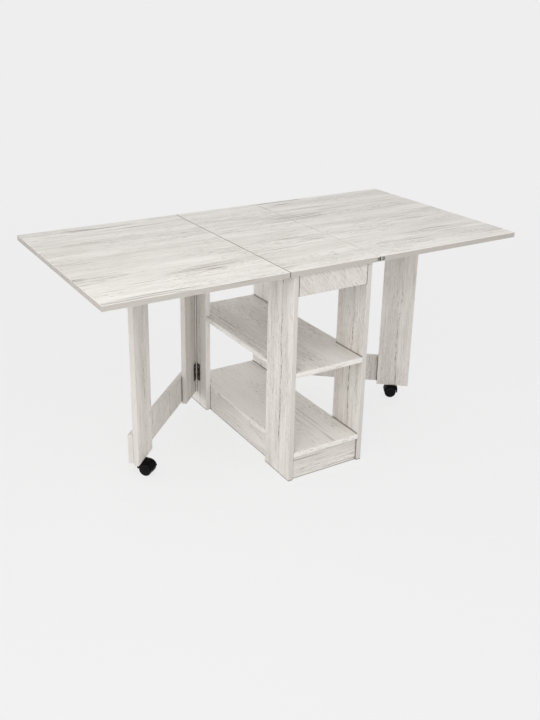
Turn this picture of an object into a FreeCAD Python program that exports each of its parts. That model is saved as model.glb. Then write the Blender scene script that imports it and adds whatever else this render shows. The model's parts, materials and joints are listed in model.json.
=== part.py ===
import FreeCAD, Part
import math
import os

# Drop-leaf kitchen table on a narrow open cabinet, with a swinging gate under each leaf.
# Millimetres. The origin is on the floor under the middle of the top,
# +X along the top, +Y to the back, +Z up.

# Boards and overall sizes
BOARD = 18.0                   # thickness of every board
TABLE_HEIGHT = 750.0           # floor to the top's upper face
TOP_LENGTH = 1570.0            # end to end with both leaves up
TOP_WIDTH = 800.0
SEAM_GAP = 2.0                 # between the fixed panel and a leaf
EDGE_EASE = 0.8                # bevel of the boards' edges

# Cabinet
CABINET_WIDTH = 304.0          # over the posts' outer faces
CABINET_DEPTH = 720.0          # front edge to back edge of the posts
FRONT_OVERHANG = 11.0          # of the top over the posts' front edges
FRONT_POST_WIDTH = 152.0
BACK_POST_WIDTH = 128.0
MIDDLE_SHELF_TOP = 396.0       # height of its upper face
BOTTOM_SHELF_TOP = 103.0       # height of its upper face
APRON_HEIGHT = 73.0
PLINTH_SETBACK = 7.0           # of the front and back plinths behind the posts' edges

# Butt hinges: shared section
LEAF_THICKNESS = 1.4
KNUCKLE_RADIUS = 2.3
PIN_RADIUS = 1.25
PIN_CLEARANCE = 0.05           # radial, in the knuckles
PIN_TO_FACE = 2.5              # hinge axis to the face that a hinge leaf lies on
KNUCKLES = 3
KNUCKLE_GAP = 0.25             # between neighbouring knuckles, along the pin
KNUCKLE_RELIEF = 0.4           # round the other leaf's knuckles

# Hinges under the seams of the top
SEAM_HINGE_LENGTH = 60.0
SEAM_HINGE_WIDTH = 20.0        # hinge axis to the outer edge of one leaf
SEAM_HINGE_CLEARANCE = 2.0     # hinge leaf to the cabinet's side
SEAM_HINGE_INSET = 12.0        # hinge ends from the top's front and back edges
SEAM_HINGE_RELIEF = 1.0        # round a seam hinge, in a hinge post that stands under it

# Gates: hinge post, foot rail and outer leg
GATE_LENGTH = 594.0            # hinge axis to the outer edge of the leg
GATE_EDGE_GAP = 1.0            # hinge axis to the hinge post's edge
GATE_TOP_CLEARANCE = 0.5       # under the leaf
GATE_PIN_INSET = 50.0          # hinge axis in front of the cabinet's back edge
HINGE_POST_WIDTH = 116.0
LEG_WIDTH = 125.0
RAIL_LIFT = 7.5                # rail's lower edge above the leg's lower end
RAIL_HEIGHT = 108.0
LEFT_GATE_ANGLE = 46.0         # from closed against the cabinet
RIGHT_GATE_ANGLE = 50.5
GATE_HINGE_LENGTH = 70.0
GATE_HINGE_WIDTH = 25.0
GATE_HINGE_INSET = 55.0        # hinge ends from the hinge post's ends

# Twin-wheel casters under the legs
CASTER_INSET = 48.0            # swivel axis from the leg's outer edge
LEFT_CASTER_YAW = 8.0          # swing of the wheels from square to the gate
RIGHT_CASTER_YAW = -85.0
WHEEL_DIAMETER = 45.0
WHEEL_WIDTH = 19.5
WEB_THICKNESS = 4.0            # hood's web between the wheels
WHEEL_SIDE_GAP = 0.5
CASTER_TRAIL = 22.0            # swivel axis to wheel axis
HOOD_CLEARANCE = 1.0
HOOD_WALL = 2.0
HOOD_FROM = 2.0                # hood's arc round the wheels, in degrees above the front
HOOD_TO = 172.0
HOOD_NOSE = 5.0                # thickness of its front at axle height
HOOD_NOSE_BEVEL = 3.0
HUB_RADIUS = 7.0
AXLE_RADIUS = 3.0
AXLE_REACH = 14.0              # into each wheel
STEM_RADIUS = 4.0
STEM_REACH = 30.0              # into the leg
STEM_SEAT = 8.0                # into the hood's nose
SWIVEL_GAP = 1.5               # hood to the leg's lower end
SOCKET_RADIUS = 5.5
SOCKET_FLOOR = 2.0             # closed end of the sleeve
STEM_END_GAP = 1.0             # stem's end to the sleeve's floor
RUNNING_CLEARANCE = 0.08       # radial, of turning shafts
FIT_CLEARANCE = 0.03           # radial, of fixed inserts

# Steel plates let into the front edge at the right seam
EDGE_PLATE_LENGTH = 18.0
EDGE_PLATE_HEIGHT = 14.0
EDGE_PLATE_THICKNESS = 1.5
EDGE_PLATE_SETBACK = 0.2       # below the edge's face

UP = FreeCAD.Vector(0, 0, 1)
ALONG_X = FreeCAD.Vector(1, 0, 0)
ALONG_Y = FreeCAD.Vector(0, 1, 0)

# Places worked out from the sizes above
underside = TABLE_HEIGHT - BOARD
cabinet_side = CABINET_WIDTH / 2
post_inside = cabinet_side - BOARD
cabinet_front = FRONT_OVERHANG - TOP_WIDTH / 2
cabinet_back = cabinet_front + CABINET_DEPTH
seam_x = cabinet_side + SEAM_HINGE_CLEARANCE + SEAM_HINGE_WIDTH
gate_pin = FreeCAD.Vector(cabinet_side + PIN_TO_FACE, cabinet_back - GATE_PIN_INSET, 0)
gate_near = PIN_TO_FACE
gate_far = gate_near + BOARD
hood_top = WHEEL_DIAMETER + HOOD_CLEARANCE + HOOD_WALL
gate_low = hood_top + SWIVEL_GAP
gate_high = underside - GATE_TOP_CLEARANCE
stem_high = gate_low + STEM_REACH
socket_high = stem_high + STEM_END_GAP + SOCKET_FLOOR
caster_at = FreeCAD.Vector(GATE_LENGTH - CASTER_INSET, gate_near + BOARD / 2, 0)


def block(x_ends, y_ends, z_ends):
    """Block between pairs of ends, given in either order."""
    low = FreeCAD.Vector(min(x_ends), min(y_ends), min(z_ends))
    sizes = [abs(ends[1] - ends[0]) for ends in (x_ends, y_ends, z_ends)]
    return Part.makeBox(sizes[0], sizes[1], sizes[2], low)


def cylinder(radius, start, axis, length):
    return Part.makeCylinder(radius, length, start, axis)


def eased(board, axis):
    """Bevel the edges of a board that run along an axis."""
    edges = [edge for edge in board.Edges if abs(edge.tangentAt(edge.FirstParameter).dot(axis)) > 0.99]
    return board.makeChamfer(EDGE_EASE, edges)


def mirrored(shape):
    """The same piece on the table's left side."""
    return shape.mirror(FreeCAD.Vector(0, 0, 0), ALONG_X)


def on_gate(shape, angle):
    """Carry a piece from the gate's own frame to the right side of the table.

    In its own frame the gate runs along +X from the hinge axis and faces the cabinet with -Y.
    """
    turn = FreeCAD.Rotation(UP, angle - 90)
    placed = shape.copy()
    placed.Placement = FreeCAD.Placement(gate_pin, turn).multiply(shape.Placement)
    return placed


def under_seam(shape, middle):
    """Carry a hinge piece from the pin's frame to the underside of the right seam."""
    start = FreeCAD.Vector(seam_x, middle + SEAM_HINGE_LENGTH / 2, underside - PIN_TO_FACE)
    placed = shape.copy()
    placed.Placement = FreeCAD.Placement(start, FreeCAD.Rotation(ALONG_X, 90)).multiply(shape.Placement)
    return placed


# Top

def edge_pocket(sign):
    """Pocket for a steel plate in the front edge, on one side of the right seam."""
    near = seam_x + sign * SEAM_GAP / 2
    front = -TOP_WIDTH / 2
    middle = underside + BOARD / 2
    heights = (middle - EDGE_PLATE_HEIGHT / 2, middle + EDGE_PLATE_HEIGHT / 2)
    depth = EDGE_PLATE_SETBACK + EDGE_PLATE_THICKNESS
    return block((near, near + sign * EDGE_PLATE_LENGTH), (front, front + depth), heights)


def edge_plate(sign):
    near = seam_x + sign * SEAM_GAP / 2
    front = -TOP_WIDTH / 2 + EDGE_PLATE_SETBACK
    middle = underside + BOARD / 2
    heights = (middle - EDGE_PLATE_HEIGHT / 2, middle + EDGE_PLATE_HEIGHT / 2)
    return block((near, near + sign * EDGE_PLATE_LENGTH), (front, front + EDGE_PLATE_THICKNESS), heights)


def top_panel(x_ends):
    panel = block(x_ends, (-TOP_WIDTH / 2, TOP_WIDTH / 2), (underside, TABLE_HEIGHT))
    return panel.makeChamfer(EDGE_EASE, panel.Edges)


def top_centre():
    edge = seam_x - SEAM_GAP / 2
    return top_panel((-edge, edge)).cut(edge_pocket(-1))


def right_leaf():
    return top_panel((seam_x + SEAM_GAP / 2, TOP_LENGTH / 2)).cut(edge_pocket(1))


def left_leaf():
    return top_panel((-seam_x - SEAM_GAP / 2, -TOP_LENGTH / 2))


# Cabinet

def front_post():
    post = block((post_inside, cabinet_side), (cabinet_front, cabinet_front + FRONT_POST_WIDTH), (0, underside))
    return eased(post, UP)


def back_post():
    post = block((post_inside, cabinet_side), (cabinet_back - BACK_POST_WIDTH, cabinet_back), (0, underside))
    return eased(post, UP)


def apron(face, inward):
    """Board between two posts, right under the top, flush with their outer edges."""
    board = block((-post_inside, post_inside), (face, face + inward * BOARD), (underside - APRON_HEIGHT, underside))
    return eased(board, ALONG_X)


def plinth_end(face, inward):
    """Front or back board of the plinth, between two posts."""
    outer = face + inward * PLINTH_SETBACK
    height = BOTTOM_SHELF_TOP - BOARD
    return block((-post_inside, post_inside), (outer, outer + inward * BOARD), (0, height))


def plinth_side():
    """Side board of the plinth, inside the posts and between its ends."""
    reach = PLINTH_SETBACK + BOARD
    height = BOTTOM_SHELF_TOP - BOARD
    return block((post_inside - BOARD, post_inside), (cabinet_front + reach, cabinet_back - reach), (0, height))


def bottom_shelf():
    shelf = block(
        (-post_inside, post_inside), (cabinet_front, cabinet_back), (BOTTOM_SHELF_TOP - BOARD, BOTTOM_SHELF_TOP)
    )
    return eased(shelf, ALONG_X)


def middle_shelf():
    """Shelf between the posts, widened between front and back posts to their outer faces."""
    heights = (MIDDLE_SHELF_TOP - BOARD, MIDDLE_SHELF_TOP)
    long_part = eased(block((-post_inside, post_inside), (cabinet_front, cabinet_back), heights), ALONG_X)
    wide_ends = (cabinet_front + FRONT_POST_WIDTH, cabinet_back - BACK_POST_WIDTH)
    wide_part = eased(block((-cabinet_side, cabinet_side), wide_ends, heights), ALONG_Y)
    return long_part.fuse(wide_part).removeSplitter()


# Gates, in their own frame

def gate_upright(start, width):
    board = block((start, start + width), (gate_near, gate_far), (gate_low, gate_high))
    return eased(board, UP)


def gate_leg():
    leg = gate_upright(GATE_LENGTH - LEG_WIDTH, LEG_WIDTH)
    hole = cylinder(SOCKET_RADIUS + FIT_CLEARANCE, caster_at + UP * gate_low, UP, socket_high - gate_low)
    return leg.cut(hole)


def gate_rail():
    low = gate_low + RAIL_LIFT
    rail = block((GATE_EDGE_GAP, GATE_LENGTH), (gate_far, gate_far + BOARD), (low, low + RAIL_HEIGHT))
    return eased(rail, ALONG_X)


# Butt hinges: pin along +Z from the origin, leaf along +X, lying on a face at +Y

def hinge_leaf(length, width, own, gap):
    """One hinge leaf with every second knuckle, starting with knuckle number own."""
    plate = block((0, width), (PIN_TO_FACE - LEAF_THICKNESS, PIN_TO_FACE), (0, length))
    pitch = length / KNUCKLES
    for number in range(KNUCKLES):
        low = number * pitch
        if number % 2 == own:
            plate = plate.fuse(cylinder(KNUCKLE_RADIUS, UP * (low + gap), UP, pitch - 2 * gap))
        else:
            room = KNUCKLE_RADIUS + KNUCKLE_RELIEF
            plate = plate.cut(block((-room, room), (-room, PIN_TO_FACE), (low - gap, low + pitch + gap)))
    return plate


def bored(leaf, length):
    """Hinge leaf with its knuckles bored for the pin."""
    return leaf.cut(cylinder(PIN_RADIUS + PIN_CLEARANCE, FreeCAD.Vector(0, 0, 0), UP, length))


def hinge_pin(length):
    return cylinder(PIN_RADIUS, FreeCAD.Vector(0, 0, 0), UP, length)


def gate_hinge_heights():
    """Lower ends of the two hinges on a gate."""
    return (gate_low + GATE_HINGE_INSET, gate_high - GATE_HINGE_INSET - GATE_HINGE_LENGTH)


def seam_hinge_middles():
    """Middles of the front and back hinge of a seam."""
    reach = TOP_WIDTH / 2 - SEAM_HINGE_INSET - SEAM_HINGE_LENGTH / 2
    return (-reach, reach)


def gate_hinge_pieces(piece, angle):
    """Copies of a hinge piece at both hinge heights of the right gate, turned by an angle."""
    copies = []
    for height in gate_hinge_heights():
        copies.append(on_gate(piece.translated(UP * height), angle))
    return Part.makeCompound(copies)


def seam_hinge_pieces(piece):
    return Part.makeCompound([under_seam(piece, middle) for middle in seam_hinge_middles()])


def gate_hinge_fixed_leaves():
    leaf = bored(hinge_leaf(GATE_HINGE_LENGTH, GATE_HINGE_WIDTH, 0, 0), GATE_HINGE_LENGTH)
    return gate_hinge_pieces(leaf.mirror(FreeCAD.Vector(0, 0, 0), ALONG_Y), 0)


def gate_hinge_moving_leaves(angle):
    leaf = hinge_leaf(GATE_HINGE_LENGTH, GATE_HINGE_WIDTH, 1, KNUCKLE_GAP)
    return gate_hinge_pieces(bored(leaf, GATE_HINGE_LENGTH), angle)


def gate_hinge_pins():
    return gate_hinge_pieces(hinge_pin(GATE_HINGE_LENGTH), 0)


def seam_hinge_fixed_leaves():
    """Leaves on the top's middle panel, each with the pin riveted into its knuckles."""
    leaf = hinge_leaf(SEAM_HINGE_LENGTH, SEAM_HINGE_WIDTH, 0, 0).fuse(hinge_pin(SEAM_HINGE_LENGTH)).removeSplitter()
    return seam_hinge_pieces(leaf.mirror(FreeCAD.Vector(0, 0, 0), ALONG_X))


def seam_hinge_room():
    """Room that the seam hinges need in a board that stands under them."""
    side = SEAM_HINGE_WIDTH + SEAM_HINGE_RELIEF
    low = -KNUCKLE_RADIUS - SEAM_HINGE_RELIEF
    ends = (-SEAM_HINGE_RELIEF, SEAM_HINGE_LENGTH + SEAM_HINGE_RELIEF)
    return seam_hinge_pieces(block((-side, side), (low, PIN_TO_FACE), ends))


def seam_hinge_moving_leaves():
    leaf = hinge_leaf(SEAM_HINGE_LENGTH, SEAM_HINGE_WIDTH, 1, KNUCKLE_GAP)
    return seam_hinge_pieces(bored(leaf, SEAM_HINGE_LENGTH))


# Casters, in the gate's own frame; before their swing the wheels trail towards -Y

def axle_point(x):
    """Point on the wheels' axis, at a distance along it from the swivel axis."""
    return caster_at + FreeCAD.Vector(x, -CASTER_TRAIL, WHEEL_DIAMETER / 2)


def caster_socket():
    """Sleeve pressed into the leg, in which the stem turns."""
    sleeve = cylinder(SOCKET_RADIUS, caster_at + UP * gate_low, UP, socket_high - gate_low)
    bore_depth = stem_high + STEM_END_GAP - gate_low
    return sleeve.cut(cylinder(STEM_RADIUS + RUNNING_CLEARANCE, caster_at + UP * gate_low, UP, bore_depth))


def caster_stem():
    low = hood_top - STEM_SEAT
    return cylinder(STEM_RADIUS, caster_at + UP * low, UP, stem_high - low)


def hood_sector(radius, half_width):
    """Wedge of a disc round the wheels' axis, over the hood's arc."""
    section = Part.makePlane(2 * half_width, radius, axle_point(-half_width), UP)
    section.rotate(axle_point(0), ALONG_X, HOOD_FROM)
    return section.revolve(axle_point(0), ALONG_X, HOOD_TO - HOOD_FROM)


def hood_nose(inner, half_width):
    """Flat-topped front of the hood, from over the wheels' axis to just past their front."""
    axle = axle_point(0)
    low = axle.z + inner * math.sin(math.radians(HOOD_FROM))
    x_ends = (axle.x - half_width, axle.x + half_width)
    nose = block(x_ends, (axle.y, axle.y + inner + HOOD_NOSE), (low, hood_top))
    front = [edge for edge in nose.Edges if edge.Length < hood_top and edge.CenterOfMass.y > axle.y + inner
             and abs(edge.CenterOfMass.x - axle.x) > half_width - 0.01]
    return nose.makeChamfer(HOOD_NOSE_BEVEL, front)


def caster_hood():
    inner = WHEEL_DIAMETER / 2 + HOOD_CLEARANCE
    half_width = WEB_THICKNESS / 2 + WHEEL_SIDE_GAP + WHEEL_WIDTH
    hub = cylinder(HUB_RADIUS, axle_point(-WEB_THICKNESS / 2), ALONG_X, WEB_THICKNESS)
    hood = hood_sector(inner + HOOD_WALL, half_width).fuse(hood_nose(inner, half_width)).fuse(hub)
    for side in (-1, 1):
        start = axle_point(side * WEB_THICKNESS / 2)
        hood = hood.cut(cylinder(inner, start, ALONG_X * side, half_width))
    hood = hood.cut(cylinder(AXLE_RADIUS + FIT_CLEARANCE, axle_point(-half_width), ALONG_X, 2 * half_width))
    seat = cylinder(STEM_RADIUS + FIT_CLEARANCE, caster_at + UP * (hood_top - STEM_SEAT), UP, 2 * STEM_SEAT)
    return hood.cut(seat).removeSplitter()


def caster_axle():
    half = WEB_THICKNESS / 2 + WHEEL_SIDE_GAP + AXLE_REACH
    return cylinder(AXLE_RADIUS, axle_point(-half), ALONG_X, 2 * half)


def caster_wheel(side):
    """Wheel on one side of the web."""
    wheel = cylinder(WHEEL_DIAMETER / 2, FreeCAD.Vector(0, 0, 0), ALONG_X, WHEEL_WIDTH)
    bore = cylinder(AXLE_RADIUS + RUNNING_CLEARANCE, FreeCAD.Vector(0, 0, 0), ALONG_X, AXLE_REACH + WHEEL_SIDE_GAP)
    wheel = wheel.cut(bore)
    if side < 0:
        wheel = wheel.mirror(FreeCAD.Vector(0, 0, 0), ALONG_X)
    return wheel.translated(axle_point(side * (WEB_THICKNESS / 2 + WHEEL_SIDE_GAP)))


def swivelled(shape, yaw):
    """Turn a piece of the caster about its stem."""
    turned = shape.copy()
    turned.rotate(caster_at, UP, yaw)
    return turned


def gate_pieces(angle, yaw):
    """Every piece that swings with one gate, by name, on the right side of the table."""
    pieces = {
        "gate_hinge_post": gate_upright(GATE_EDGE_GAP, HINGE_POST_WIDTH),
        "gate_leg": gate_leg(),
        "gate_rail": gate_rail(),
        "caster_socket": caster_socket(),
        "caster_stem": caster_stem(),
        "caster_hood": swivelled(caster_hood(), yaw),
        "caster_axle": swivelled(caster_axle(), yaw),
        "caster_wheel_inner": swivelled(caster_wheel(-1), yaw),
        "caster_wheel_outer": swivelled(caster_wheel(1), yaw),
    }
    placed = {name: on_gate(shape, angle) for name, shape in pieces.items()}
    placed["gate_hinge_moving_leaves"] = gate_hinge_moving_leaves(angle)
    return placed


def side_pieces(angle, yaw):
    """Every piece that the table has once on each side, by name, on the right side."""
    pieces = gate_pieces(angle, yaw)
    pieces["gate_hinge_post"] = pieces["gate_hinge_post"].cut(seam_hinge_room())
    pieces["post_front"] = front_post()
    pieces["post_back"] = back_post()
    pieces["plinth_side"] = plinth_side()
    pieces["gate_hinge_fixed_leaves"] = gate_hinge_fixed_leaves()
    pieces["gate_hinge_pins"] = gate_hinge_pins()
    pieces["seam_hinge_fixed_leaves"] = seam_hinge_fixed_leaves()
    pieces["seam_hinge_moving_leaves"] = seam_hinge_moving_leaves()
    return pieces


def all_pieces():
    pieces = {
        "top_centre": top_centre(),
        "left_leaf": left_leaf(),
        "right_leaf": right_leaf(),
        "edge_plate_centre": edge_plate(-1),
        "edge_plate_leaf": edge_plate(1),
        "apron_front": apron(cabinet_front, 1),
        "apron_back": apron(cabinet_back, -1),
        "middle_shelf": middle_shelf(),
        "bottom_shelf": bottom_shelf(),
        "plinth_front": plinth_end(cabinet_front, 1),
        "plinth_back": plinth_end(cabinet_back, -1),
    }
    for name, shape in side_pieces(RIGHT_GATE_ANGLE, RIGHT_CASTER_YAW).items():
        pieces["right_" + name] = shape
    for name, shape in side_pieces(LEFT_GATE_ANGLE, LEFT_CASTER_YAW).items():
        pieces["left_" + name] = mirrored(shape)
    return pieces


def main():
    os.makedirs("parts", exist_ok=True)
    for name, shape in all_pieces().items():
        shape.exportStep("parts/" + name + ".step")


main()
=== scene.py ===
import bmesh
import bpy
import json
import math
from mathutils import Matrix, Vector


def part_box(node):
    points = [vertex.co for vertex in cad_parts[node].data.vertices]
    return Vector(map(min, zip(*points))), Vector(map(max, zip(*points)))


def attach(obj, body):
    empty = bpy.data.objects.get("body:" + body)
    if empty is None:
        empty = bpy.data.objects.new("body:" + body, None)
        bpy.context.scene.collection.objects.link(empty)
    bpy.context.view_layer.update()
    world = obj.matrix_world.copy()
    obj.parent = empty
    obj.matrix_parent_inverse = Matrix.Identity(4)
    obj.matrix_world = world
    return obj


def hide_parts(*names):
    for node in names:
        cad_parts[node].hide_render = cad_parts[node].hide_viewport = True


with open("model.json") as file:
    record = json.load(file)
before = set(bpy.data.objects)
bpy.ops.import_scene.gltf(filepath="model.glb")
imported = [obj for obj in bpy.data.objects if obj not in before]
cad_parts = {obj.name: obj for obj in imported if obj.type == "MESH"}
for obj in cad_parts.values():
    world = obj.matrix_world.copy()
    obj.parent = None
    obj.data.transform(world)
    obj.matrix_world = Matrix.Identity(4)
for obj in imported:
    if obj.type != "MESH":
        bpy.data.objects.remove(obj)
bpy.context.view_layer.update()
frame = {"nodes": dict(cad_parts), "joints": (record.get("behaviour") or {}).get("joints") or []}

MM = 0.001
X = Vector((1, 0, 0))
Y = Vector((0, 1, 0))
Z = Vector((0, 0, 1))
SIDES = {"left": -1, "right": 1}

# Angles at which the gates stand, in degrees from closed
GATE_ANGLES = {"left": 46.0, "right": 50.5}

# Camera: metres and degrees in the row frame, pixels in a 540 x 720 picture
IMAGE_WIDTH = 540
IMAGE_HEIGHT = 720
SENSOR = 36.0
CAMERA_AT = (-1.536644, -2.449461, 1.559493)
CAMERA_AZIMUTH = -30.449
CAMERA_ELEVATION = 20.134
CAMERA_ROLL = 0.597
FOCAL_PIXELS = 848.131
CENTRE_PIXEL = (245.803, 300.044)
NEAREST_SEEN = 0.05

# Studio
BACKDROP_COLOUR = (0.855, 0.855, 0.855)
FLOOR_COLOUR = (0.88, 0.88, 0.88)
FLOOR_FADE = 0.99              # of its colour, where its cloud is full
FLOOR_HALF = 400.0
SHADOW_SHARE = 0.14            # of the floor's look that is lit, near the object
NEAR_GLOW = (0.868, 0.868, 0.868)   # of the rest there, so that both add up to the backdrop
SHADOW_FADE = (1.6, 4.0)       # metres from the origin over which the lit share fades out
OVERHEAD_LIGHT = 0.515         # the world's strength straight up
WALL_LIGHT = 1.05              # added at the horizon, on average round the object
WALL_SLOPE = (-0.14, 0.58)     # of that light along X and Y: more from the left and from the back
WALL_HEIGHTS = (0.15, 0.80)    # sine of the elevation at which it starts to fall, and ends
LAMPS = {                      # watts, size, place and aim
    "key": (15.0, 1.6, (-1.2, -1.2, 2.1), (-0.2, 0.0, 0.4)),
    "front": (3.5, 0.7, (0.45, -1.5, 1.75), (0.05, -0.25, 0.3)),
    "fill": (6.0, 1.0, (-1.8, -1.9, 0.7), (-0.1, 0.1, 0.35)),
}


# Material nodes

class Mark:
    """A noise, and the band of it, if any, over which a mark goes from nothing to full."""

    def __init__(self, scale, detail, band=None, roughness=0.55, shift=(0.0, 0.0, 0.0)):
        self.scale = scale          # repeats per metre along X, Y and Z
        self.detail = detail
        self.band = band
        self.roughness = roughness
        self.shift = shift


class Graph:
    """The nodes of a material or world, made and linked in one line each."""

    def __init__(self, owner):
        owner.use_nodes = True
        self.owner = owner
        self.nodes = owner.node_tree.nodes
        self.links = owner.node_tree.links
        self.shader = self.nodes.get("Principled BSDF") or self.nodes["Background"]

    def put(self, socket, value):
        if isinstance(value, bpy.types.NodeSocket):
            self.links.new(value, socket)
        else:
            socket.default_value = value

    def math(self, operation, *values):
        node = self.nodes.new("ShaderNodeMath")
        node.operation = operation
        for socket, value in zip(node.inputs, values):
            self.put(socket, value)
        return node.outputs[0]

    def inverse(self, share):
        """What a share leaves of 1."""
        return self.math("SUBTRACT", 1.0, share)

    def spread(self, share, least, more):
        """From least, where a share is 0, to more above it, where it is 1."""
        return self.math("MULTIPLY_ADD", share, more, least)

    def vector_math(self, operation, *vectors):
        node = self.nodes.new("ShaderNodeVectorMath")
        node.operation = operation
        for socket, vector in zip(node.inputs, vectors):
            self.put(socket, vector)
        return node.outputs["Value" if operation == "LENGTH" else "Vector"]

    def mapping(self, vector, rotation=(0.0, 0.0, 0.0), scale=(1.0, 1.0, 1.0), shift=(0.0, 0.0, 0.0)):
        node = self.nodes.new("ShaderNodeMapping")
        self.put(node.inputs["Vector"], vector)
        node.inputs["Rotation"].default_value = rotation
        node.inputs["Scale"].default_value = scale
        node.inputs["Location"].default_value = shift
        return node.outputs[0]

    def noise(self, place, mark):
        node = self.nodes.new("ShaderNodeTexNoise")
        self.put(node.inputs["Vector"], self.mapping(place, scale=mark.scale, shift=mark.shift))
        node.inputs["Scale"].default_value = 1.0
        node.inputs["Detail"].default_value = mark.detail
        node.inputs["Roughness"].default_value = mark.roughness
        return node.outputs["Fac"]

    def band(self, value, low, high):
        """0 below low, 1 above high, smooth between."""
        node = self.nodes.new("ShaderNodeMapRange")
        node.interpolation_type = "SMOOTHSTEP"
        self.put(node.inputs["Value"], value)
        node.inputs["From Min"].default_value = low
        node.inputs["From Max"].default_value = high
        return node.outputs["Result"]

    def mask(self, place, mark):
        """0 where a mark is missing, 1 where it is full."""
        return self.band(self.noise(place, mark), *mark.band)

    def mix(self, factor, first, second, kind="RGBA"):
        """First where a factor is 0, second where it is 1: two colours, or with VECTOR two vectors."""
        node = self.nodes.new("ShaderNodeMix")
        node.data_type = kind
        self.put(node.inputs["Factor"], factor)
        for name, value in (("A", first), ("B", second)):
            self.put(node.inputs[name], (*value, 1.0) if isinstance(value, tuple) else value)
        return node.outputs["Result"]

    def nearness(self, distance):
        """0 on open surface, up to about a half in a corner with another surface."""
        node = self.nodes.new("ShaderNodeAmbientOcclusion")
        node.samples = 8
        node.inputs["Distance"].default_value = distance
        return self.inverse(node.outputs["AO"])

    def split(self, vector):
        node = self.nodes.new("ShaderNodeSeparateXYZ")
        self.put(node.inputs[0], vector)
        return node.outputs

    def join(self, x, y, z):
        node = self.nodes.new("ShaderNodeCombineXYZ")
        for socket, value in zip(node.inputs, (x, y, z)):
            self.put(socket, value)
        return node.outputs[0]

    def coordinates(self, kind):
        return self.nodes.new("ShaderNodeTexCoord").outputs[kind]

    def surface(self, colour, roughness, metallic=0.0, specular=0.5):
        """Sets the shader's main inputs."""
        names = ("Base Color", "Roughness", "Metallic", "Specular IOR Level")
        for name, value in zip(names, (colour, roughness, metallic, specular)):
            self.put(self.shader.inputs[name], value)

    def bump(self, height, strength, distance):
        node = self.nodes.new("ShaderNodeBump")
        node.inputs["Strength"].default_value = strength
        node.inputs["Distance"].default_value = distance
        self.put(node.inputs["Height"], height)
        self.put(self.shader.inputs["Normal"], node.outputs[0])

    def seen_share(self):
        """1 for rays that show the background, from the camera or by reflection, and 0 for its light."""
        path = self.nodes.new("ShaderNodeLightPath").outputs
        direct = self.math("MAXIMUM", path["Is Camera Ray"], path["Is Glossy Ray"])
        return self.math("MAXIMUM", direct, path["Is Transmission Ray"])

    def blend_shaders(self, share, first, second):
        """Puts a mix of two shader nodes on the output."""
        blend = self.nodes.new("ShaderNodeMixShader")
        self.put(blend.inputs[0], share)
        self.put(blend.inputs[1], first.outputs[0])
        self.put(blend.inputs[2], second.outputs[0])
        output = next(node for node in self.nodes if node.type.startswith("OUTPUT"))
        self.put(output.inputs["Surface"], blend.outputs[0])


def new_material(name):
    return Graph(bpy.data.materials.new(name))


# Places read from the frame

def joint(name):
    return next(entry for entry in frame["joints"] if entry["name"] == name)


def joint_place(name):
    return Vector(joint(name)["pos_m"])


def gate_axes(side):
    """Directions of a gate: along it from its hinge, and away from the cabinet."""
    angle = math.radians(GATE_ANGLES[side])
    sign = SIDES[side]
    along = Vector((sign * math.sin(angle), -math.cos(angle), 0))
    away = Vector((sign * math.cos(angle), math.sin(angle), 0))
    return along, away


def gate_place(side, along, away, height):
    """Point of a gate from its own measures, in metres."""
    pin = joint_place(side + "_gate_hinge")
    axes = gate_axes(side)
    return Vector((pin.x, pin.y, height)) + axes[0] * along + axes[1] * away


def hinge_starts(node, axis, length):
    """Lower ends, along an axis, of the two hinges of a length in a node."""
    low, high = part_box(node)
    return low[axis], high[axis] - length


# Whitewashed wood print, linear colours

PALE_WOOD = (0.815, 0.788, 0.750)
GREY_WOOD = (0.500, 0.466, 0.425)
# painted shade on the narrow sides of boards
SIDE_SHADE_WOOD = (0.405, 0.378, 0.342)
BROWN_WOOD = (0.150, 0.130, 0.108)
# painted shade at joints, gaps and the left seam of the top
JOINT_SHADE_COLOUR = (0.105, 0.078, 0.055)
SIDE_CALM = 0.35               # share of the print's contrast left on a board's narrow sides
FACING = 0.7                   # least share of its normal along an axis for a face to count as facing it
SEED_STEP = (1.37, 0.83, 2.11)      # from one board's print to the next one's

# Its marks, with the grain along X: scale, detail, band and roughness
BROAD = Mark((1.6, 19.0, 19.0), 4.0, (0.36, 0.68), 0.6)
LINES = Mark((4.0, 95.0, 95.0), 4.0, (0.44, 0.72), 0.6)
FINE = Mark((16.0, 320.0, 320.0), 3.0, (0.40, 0.72), 0.6)
MOTTLE = Mark((130.0, 260.0, 260.0), 2.0, (0.38, 0.72), 0.6)
MOTTLE_SHARE = 0.5             # of the fine grain's strength
PORES = Mark((36.0, 340.0, 340.0), 2.0, (0.57, 0.65), 0.6)
PORE_CLUSTERS = Mark((3.0, 13.0, 13.0), 2.0, (0.40, 0.58))
STREAKS = Mark((3.4, 155.0, 155.0), 3.0, (0.57, 0.65), 0.5)
STREAK_CLUSTERS = Mark((2.2, 8.0, 8.0), 2.0, (0.50, 0.60), shift=(3.0, 5.0, 1.0))
GRAIN_WANDER = Mark((2.2, 6.0, 6.0), 2.0)
GRAIN_SWAY = 0.012             # metres from one side to the other
DASHES = Mark((60.0, 300.0, 300.0), 3.0, (0.46, 0.56))
DASH_CLUSTERS = Mark((7.0, 12.0, 12.0), 2.0, (0.40, 0.52))
COLUMN_WANDER = Mark((3.5, 0.0, 0.0), 3.0)
COLUMN_SWAY = 0.044
COLUMN_PLACE = 0.42            # of a board's width
COLUMN_REACH = (0.0010, 0.0038)     # from the column's middle, over which its flecks end
COLUMN_SOFT = (0.002, 0.014)   # and the soft grey that they lie in
COLUMN_GREY = 0.08
WOOD_ROUGHNESS = (0.52, 0.16)  # least, and what the fine grain adds
WOOD_SPECULAR = 0.30
RELIEF_GRAIN = 0.4             # of the relief that comes from the fine grain, against 1 from dark marks
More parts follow.
